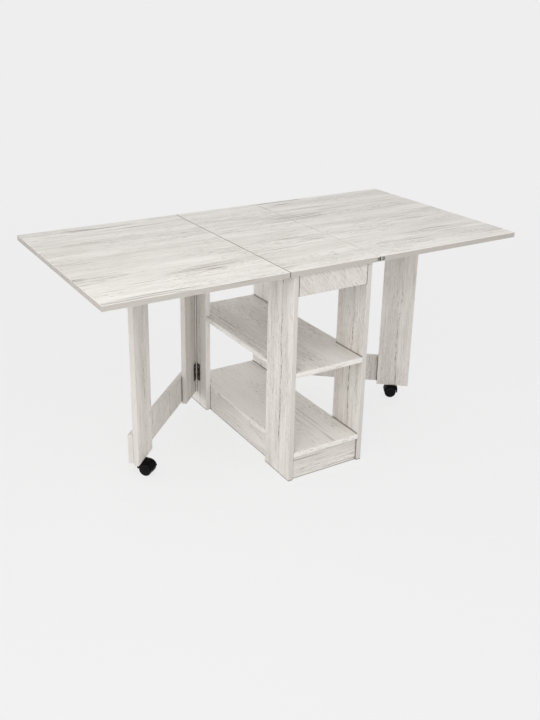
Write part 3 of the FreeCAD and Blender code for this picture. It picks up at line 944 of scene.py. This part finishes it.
CATCH_DEPTH = 0.9 * MM         # from the node's front to its plates' backs
CATCH_BACK = 0.5 * MM          # thickness of the black slab behind them, painted shade in their recess
CATCH_SET_BACK = 0.2 * MM      # of the plates from that front
CATCH_SLOTS = ((8.0, 12.0, 1.5, 12.0), (14.6, 18.1, 1.0, 13.2))   # left, right, lower, upper ends, in mm
CATCH_END = 1.6 * MM           # of the leaf's recess left open beside the seam
CATCH_CENTRE = 12.2 * MM       # of the leaf's bore, from the recess's left end
CATCH_BORE = 5.6 * MM
BORE_STEPS = 48
CATCH_LEVER = ((1.5, 1.2), (3.4, 1.2), (8.2, 12.8), (6.3, 12.8))    # its corners, in mm
LEVER_DEPTH = 0.4 * MM
PIN_RADIUS = 3.4 * MM
PIN_SHOULDER = 0.5 * CATCH_DEPTH    # where its bevel starts
PIN_END = 0.7 * CATCH_DEPTH
PIN_TIP = 0.86 * PIN_RADIUS
PIN_SEGMENTS = 40


def bored_plate(low, high, centre, radius, front, back):
    """Closed shell: rectangle in X and Z with a round hole, between two depths along Y."""
    rim = []
    hole = []
    for step in range(BORE_STEPS):
        angle = 2 * math.pi * (step + 0.5) / BORE_STEPS
        way = (math.cos(angle), math.sin(angle))
        ends = [high[i] if way[i] > 0 else low[i] for i in range(2)]
        nearest = min((ends[i] - centre[i]) / way[i] for i in range(2))
        rim.append((centre[0] + nearest * way[0], centre[1] + nearest * way[1]))
        hole.append((centre[0] + radius * way[0], centre[1] + radius * way[1]))
    points = []
    for depth in (front, back):
        points += [Vector((x, depth, z)) for x, z in rim + hole]
    starts = [BORE_STEPS * ring for ring in range(4)]      # front rim and hole, back rim and hole
    faces = []
    for first, second in ((0, 1), (2, 3), (0, 2), (1, 3)):
        faces += ring_faces(starts[first], starts[second], BORE_STEPS)
    return points, faces


def slotted_plate(low, high, front, back):
    """Closed shells of a plate in X and Z with upright slots, the last of them open to its end."""
    shells = []
    start = low.x
    for left, right, lower, upper in CATCH_SLOTS:
        ends = (low.x + left * MM, min(high.x, low.x + right * MM))
        shells.append(slab((start, ends[0]), (front, back), (low.z, high.z)))
        shells.append(slab(ends, (front, back), (low.z, low.z + lower * MM)))
        shells.append(slab(ends, (front, back), (low.z + upper * MM, high.z)))
        start = ends[1]
    return shells


def lever_shell(low, front):
    """Closed shell of the slanted bar in the slotted plate."""
    depths = (front, front + LEVER_DEPTH)
    points = [Vector((low.x + x * MM, depth, low.z + z * MM)) for depth in depths for x, z in CATCH_LEVER]
    return points, [[3, 2, 1, 0], [4, 5, 6, 7]] + ring_faces(0, 4, 4)


def dress_catch(steel, plate, dark):
    """A slotted plate with a slanted lever on the middle panel, and a bored one with a pin on the leaf."""
    low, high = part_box("edge_plate_centre")
    front = low.y
    middle = front + CATCH_DEPTH
    back = middle + CATCH_BACK
    make_piece("catch_plate_centre", slotted_plate(low, high, front + CATCH_SET_BACK, middle), plate,
               "cabinet", ["edge_plate_centre"])
    # black slab behind the plate: painted shade in the recess
    make_piece("catch_shade_centre", [slab((low.x, high.x), (middle, back), (low.z, high.z))], dark,
               "cabinet")
    make_piece("catch_lever", [lever_shell(low, front)], steel, "cabinet")

    low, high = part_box("edge_plate_leaf")
    centre = (low.x + CATCH_CENTRE, (low.z + high.z) / 2)
    corners = ((low.x + CATCH_END, low.z), (high.x, high.z))
    bored = bored_plate(*corners, centre, CATCH_BORE, front + CATCH_SET_BACK, middle)
    make_piece("catch_plate_leaf", [bored], plate, "right_leaf", ["edge_plate_leaf"])
    # black slab behind the plate: painted shade in the recess
    make_piece("catch_shade_leaf", [slab((low.x, high.x), (middle, back), (low.z, high.z))], dark,
               "right_leaf")
    section = [(0, 0), (0, PIN_RADIUS), (PIN_SHOULDER, PIN_RADIUS), (PIN_END, PIN_TIP), (PIN_END, 0)]
    base = Vector((centre[0], middle, centre[1]))
    make_piece("catch_pin", [placed(lathe(section, PIN_SEGMENTS), stand(base, -Y, Z))], steel,
               "right_leaf")


# Dressing

def dress(node, material):
    """Give a CAD node's object one material."""
    mesh = frame["nodes"][node].data
    mesh.materials.clear()
    mesh.materials.append(material)


def dress_boards():
    for step, (node, (axis, look)) in enumerate(BOARDS.items()):
        # The right leaf's print runs on from the middle panel's
        seed = BOARD_SEED if node == "right_leaf" else BOARD_SEED + step
        dress(node, whitewashed_board(node, axis, seed, look))
    for step, node in enumerate(APRONS):
        dress(node, whitewashed_board(node, "z", APRON_SEED + step, APRON_PRINT, slant=APRON_SLANT))
    for side, sign in SIDES.items():
        angle = math.radians(sign * (GATE_ANGLES[side] - 90))
        for step, part in enumerate(GATE_PARTS):
            node = side + part
            seed = GATE_SEEDS[side] + GATE_SEED_STEP * step
            dress(node, whitewashed_board(node, "z", seed, GATE_PRINT, angle=angle))


def dress_hardware():
    dark = hinge_steel()
    pin = bright_steel("hinge_pin_steel", PIN_TINT)
    zinc = bright_steel("zinc_steel", ZINC_TINT)
    for name in frame["nodes"]:
        if name.endswith("_leaves"):
            dress(name, dark)
        elif name.endswith("hinge_pins"):
            dress(name, pin)
        elif "caster" in name:
            dress(name, zinc)
    gate_hinge_screws(zinc)
    seam_hinge_screws(zinc)
    rail_screws(zinc)
    shelf_screws(zinc)
    wheel_plastic = black_plastic("black_wheel", roughness=0.24, shine=0.12)
    hood_plastic = black_plastic("black_cover", roughness=0.34, shine=0.05)
    dress_casters(wheel_plastic, hood_plastic, zinc)
    shadow = black_plastic("catch_shadow", roughness=0.60, shine=0.05)
    dress_catch(bright_steel("catch_steel", SATIN_TINT), painted_plate(), shadow)


# Studio

FLOOR_CLOUD = Mark((0.8, 0.8, 0.8), 2.0)


def make_camera():
    data = bpy.data.cameras.new("camera")
    data.sensor_width = SENSOR
    data.lens = FOCAL_PIXELS / IMAGE_HEIGHT * SENSOR
    data.shift_x = (IMAGE_WIDTH / 2 - CENTRE_PIXEL[0]) / IMAGE_HEIGHT
    data.shift_y = (CENTRE_PIXEL[1] - IMAGE_HEIGHT / 2) / IMAGE_HEIGHT
    data.clip_start = NEAREST_SEEN
    data.clip_end = 2 * FLOOR_HALF
    camera = bpy.data.objects.new("camera", data)
    azimuth = math.radians(CAMERA_AZIMUTH)
    elevation = math.radians(CAMERA_ELEVATION)
    level_back = Vector((math.sin(azimuth), -math.cos(azimuth), 0))
    back = math.cos(elevation) * level_back + math.sin(elevation) * Z
    roll = Matrix.Rotation(math.radians(CAMERA_ROLL), 3, "Z").to_quaternion()
    camera.rotation_mode = "QUATERNION"
    camera.rotation_quaternion = (-back).to_track_quat("-Z", "Y") @ roll
    camera.location = CAMERA_AT
    bpy.context.collection.objects.link(camera)
    bpy.context.scene.camera = camera


def pale_floor():
    """Floor that shows the backdrop's colour, with a share of real light near the object for its shadow."""
    graph = new_material("pale_floor")
    place = graph.coordinates("Object")
    darker = tuple(FLOOR_FADE * value for value in FLOOR_COLOUR)
    colour = graph.mix(graph.noise(place, FLOOR_CLOUD), FLOOR_COLOUR, darker)
    graph.surface(colour, roughness=0.9, specular=0.0)
    glow = graph.nodes.new("ShaderNodeEmission")
    fade = graph.band(graph.vector_math("LENGTH", place), *SHADOW_FADE)
    graph.put(glow.inputs["Color"], graph.mix(fade, NEAR_GLOW, BACKDROP_COLOUR))
    lit = graph.math("MULTIPLY", graph.inverse(fade), SHADOW_SHARE)
    shown = graph.math("MULTIPLY", graph.seen_share(), graph.inverse(lit))
    graph.blend_shaders(shown, graph.shader, glow)
    return graph.owner


def make_floor():
    mesh = bpy.data.meshes.new("floor")
    half = FLOOR_HALF
    corners = [(-half, -half, 0), (half, -half, 0), (half, half, 0), (-half, half, 0)]
    mesh.from_pydata(corners, [], [(0, 1, 2, 3)])
    mesh.materials.append(pale_floor())
    floor = bpy.data.objects.new("floor", mesh)
    bpy.context.collection.objects.link(floor)


def make_world():
    """Bright studio walls that fade upwards, where only the plain backdrop is seen."""
    graph = Graph(bpy.data.worlds.new("studio"))
    direction = graph.split(graph.coordinates("Generated"))
    low_down = graph.inverse(graph.band(direction[2], *WALL_HEIGHTS))
    wall = graph.math("MULTIPLY_ADD", direction[0], WALL_SLOPE[0], WALL_LIGHT)
    wall = graph.math("MULTIPLY_ADD", direction[1], WALL_SLOPE[1], wall)
    light = graph.shader
    light.inputs["Color"].default_value = (1.0, 1.0, 1.0, 1.0)
    graph.put(light.inputs["Strength"], graph.math("MULTIPLY_ADD", low_down, wall, OVERHEAD_LIGHT))
    shown = graph.nodes.new("ShaderNodeBackground")
    shown.inputs["Color"].default_value = (*BACKDROP_COLOUR, 1.0)
    shown.inputs["Strength"].default_value = 1.0
    graph.blend_shaders(graph.seen_share(), light, shown)
    bpy.context.scene.world = graph.owner


def make_lamps():
    for name, (power, size, place, aim) in LAMPS.items():
        data = bpy.data.lights.new(name, "AREA")
        data.shape = "SQUARE"
        data.size = size
        data.energy = power
        lamp = bpy.data.objects.new(name, data)
        lamp.rotation_mode = "QUATERNION"
        lamp.location = place
        lamp.rotation_quaternion = (Vector(aim) - Vector(place)).to_track_quat("-Z", "Y")
        bpy.context.collection.objects.link(lamp)


bpy.context.scene.view_settings.view_transform = "Standard"
make_camera()
make_floor()
make_world()
make_lamps()
dress_boards()
dress_hardware()
